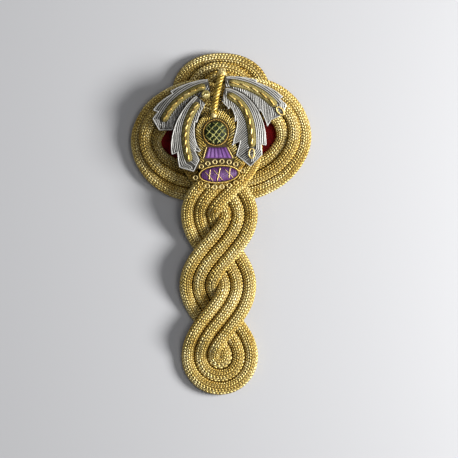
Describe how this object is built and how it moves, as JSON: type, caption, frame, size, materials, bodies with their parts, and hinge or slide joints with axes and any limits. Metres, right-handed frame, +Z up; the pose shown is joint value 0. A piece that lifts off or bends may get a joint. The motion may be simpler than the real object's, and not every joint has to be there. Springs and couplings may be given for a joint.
{
  "type": "aiguillette shoulder knot",
  "caption": "Flat trefoil shoulder knot of interlaced triple gold cords on red cloth, with an embroidered thistle badge in silver, gold, green and purple.",
  "frame": {"origin": "middle of the underside of the whole knot, on the surface that it lies on", "axes": "+X to the wearer's side as the picture shows it, across the two side lobes; +Y along the knot from the bottom loop to the top loop; +Z up through the badge"},
  "size_m": [0.0788, 0.1496, 0.0198],
  "materials": {
    "gold_braid": "braided or twisted metal thread, satin gold",
    "gold_wire": "bright gilt wire",
    "silver_purl": "silver purl, close coiled wire laid in slanting rows",
    "red_wool": "matt felted wool",
    "green_silk": "dark silk under a gold lattice",
    "purple_silk": "satin stitched silk"
  },
  "bodies": {
    "root": {"long_loop_cord_outer": "gold_braid", "long_loop_cord_middle": "gold_braid", "long_loop_cord_inner": "gold_braid", "ring_cord_outer": "gold_braid", "ring_cord_middle": "gold_braid", "ring_cord_inner": "gold_braid", "backing_cloth": "red_wool", "leaf_upper_left": "silver_purl", "leaf_lower_left": "silver_purl", "leaf_upper_right": "silver_purl", "leaf_lower_right": "silver_purl", "midrib_upper_left": "gold_braid", "midrib_lower_left": "gold_braid", "midrib_upper_right": "gold_braid", "midrib_lower_right": "gold_braid", "midrib_end_upper_right": "gold_wire", "midrib_end_lower_right": "gold_wire", "leaf_curl": "gold_wire", "badge_ground": "gold_braid", "stem": "gold_braid", "stem_knob_top": "gold_wire", "stem_knob_foot": "gold_wire", "thistle_cup": "green_silk", "cup_rim": "gold_braid", "thistle_flower": "purple_silk", "flower_edge_left": "gold_wire", "flower_edge_right": "gold_wire", "lower_pad": "purple_silk", "pad_rim": "gold_braid", "upper_loop_1": "gold_wire", "upper_loop_2": "gold_wire", "upper_loop_3": "gold_wire", "upper_loop_4": "gold_wire", "upper_loop_5": "gold_wire", "upper_loop_6": "gold_wire", "lower_loop_1": "gold_wire", "lower_loop_2": "gold_wire", "lower_loop_3": "gold_wire", "lower_loop_4": "gold_wire", "lower_loop_5": "gold_wire", "lower_loop_6": "gold_wire", "lower_loop_7": "gold_wire", "lower_loop_8": "gold_wire", "lower_loop_9": "gold_wire"}
  },
  "joints": []
}
